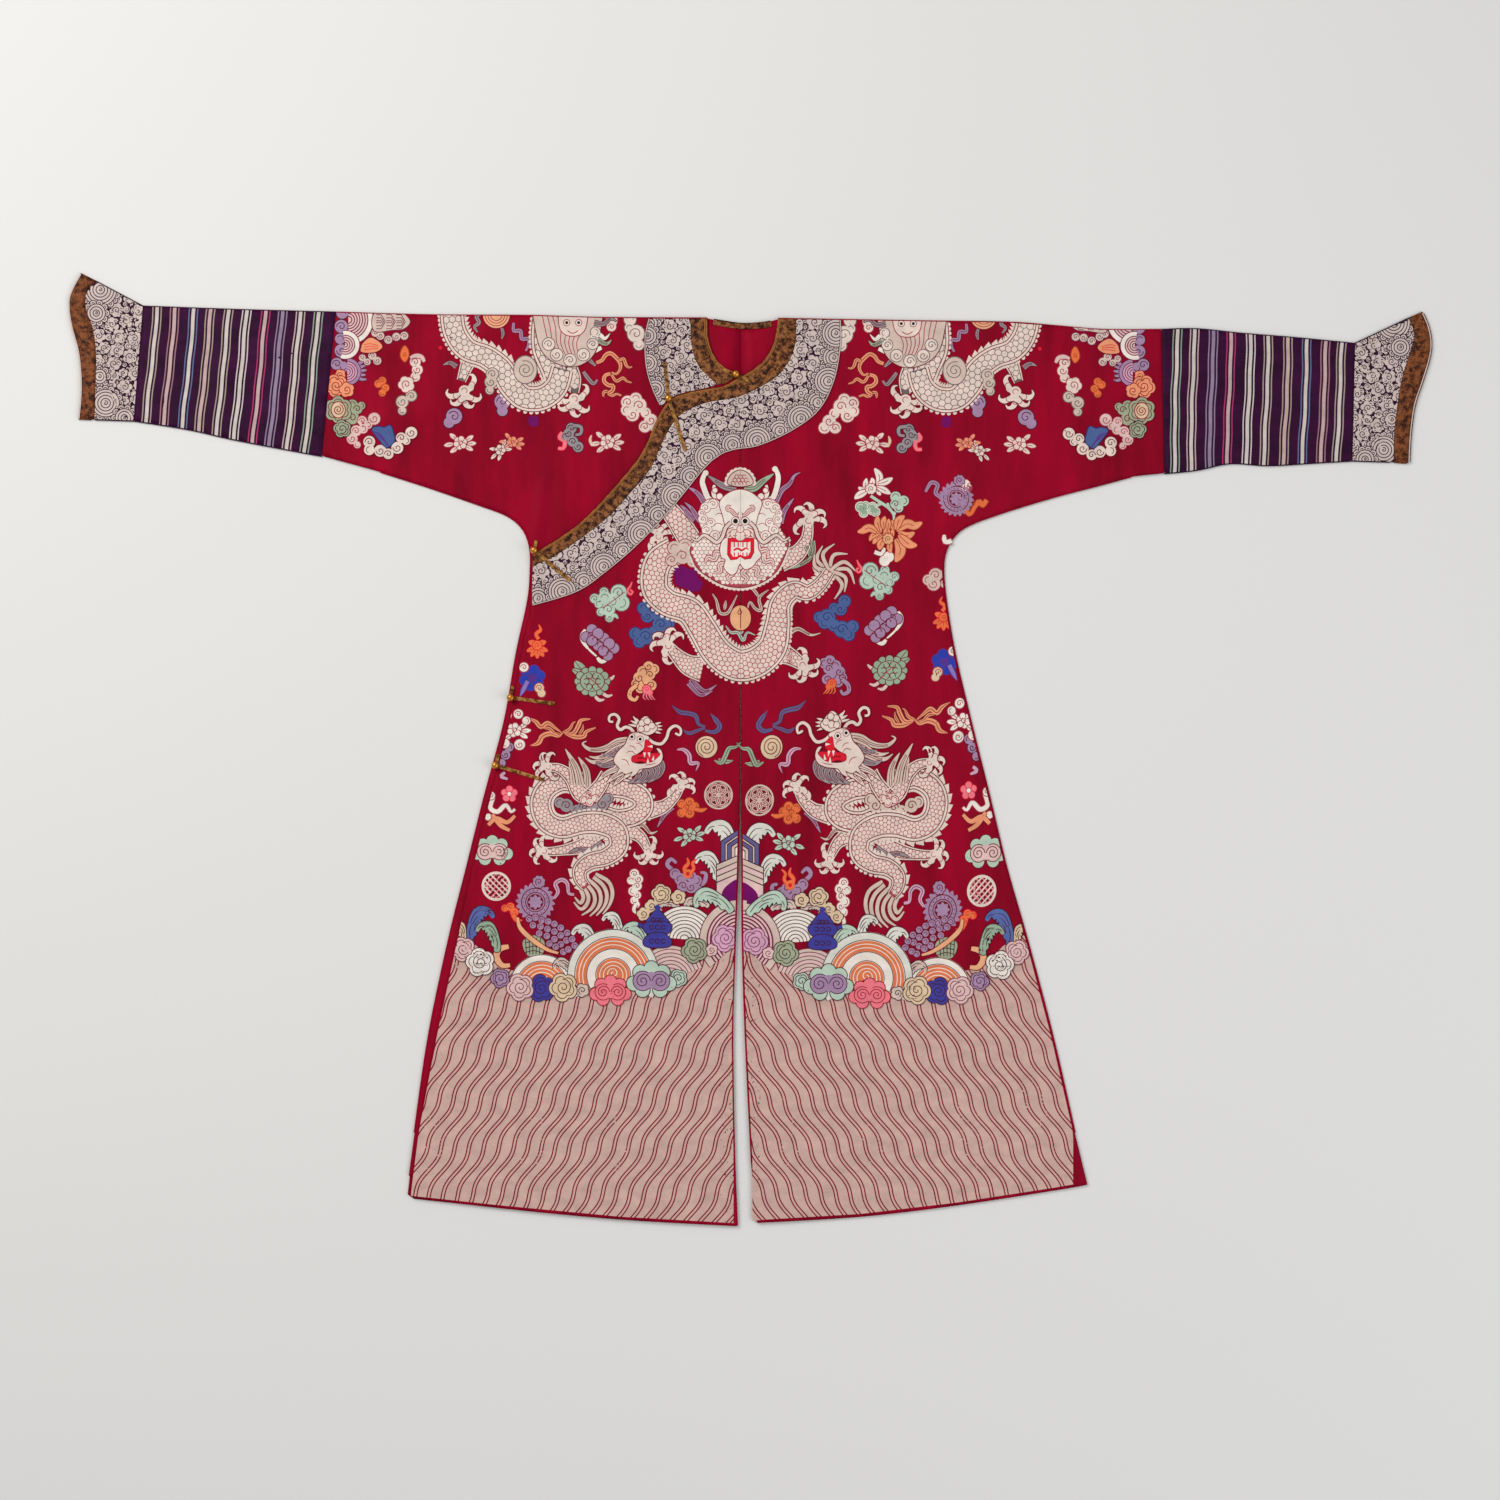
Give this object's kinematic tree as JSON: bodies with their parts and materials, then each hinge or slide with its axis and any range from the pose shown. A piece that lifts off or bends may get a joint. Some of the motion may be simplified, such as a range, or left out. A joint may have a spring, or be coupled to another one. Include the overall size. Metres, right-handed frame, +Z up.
{
  "type": "dragon robe",
  "caption": "Full-length silk dragon robe laid flat, with a side overlap, brocade collar, long sleeves, hoof cuffs and a front vent.",
  "frame": {"origin": "on the surface that the robe lies on, under the middle of its outline", "axes": "+X towards the wearer's left sleeve, +Y towards the neck, +Z up from the surface"},
  "size_m": [2.044, 1.428, 0.022],
  "materials": {
    "silk": "satin weave",
    "brocade": "brocade weave",
    "binding": "metallic brocade",
    "striped": "striped silk",
    "cuff": "brocade weave",
    "braid": "braided cord",
    "gilt": "polished gilt"
  },
  "bodies": {
    "root": {"body_left": "silk", "body_right": "silk", "overlap_front": "silk", "collar_left": "brocade", "collar_right": "brocade", "collar_back": "brocade", "binding_left": "binding", "binding_right": "binding", "binding_back": "binding", "sleeve_left": "striped", "sleeve_right": "striped", "cuff_left": "cuff", "cuff_right": "cuff", "cuff_trim_left": "binding", "cuff_trim_right": "binding", "loop_neck": "braid", "loop_collar": "braid", "loop_underarm": "braid", "loop_waist": "braid", "loop_side": "braid", "tab_neck": "braid", "tab_collar": "braid", "tab_underarm": "braid", "tab_waist": "braid", "tab_side": "braid", "button_neck": "gilt", "button_collar": "gilt", "button_underarm": "gilt", "button_waist": "gilt", "button_side": "gilt"}
  },
  "joints": []
}
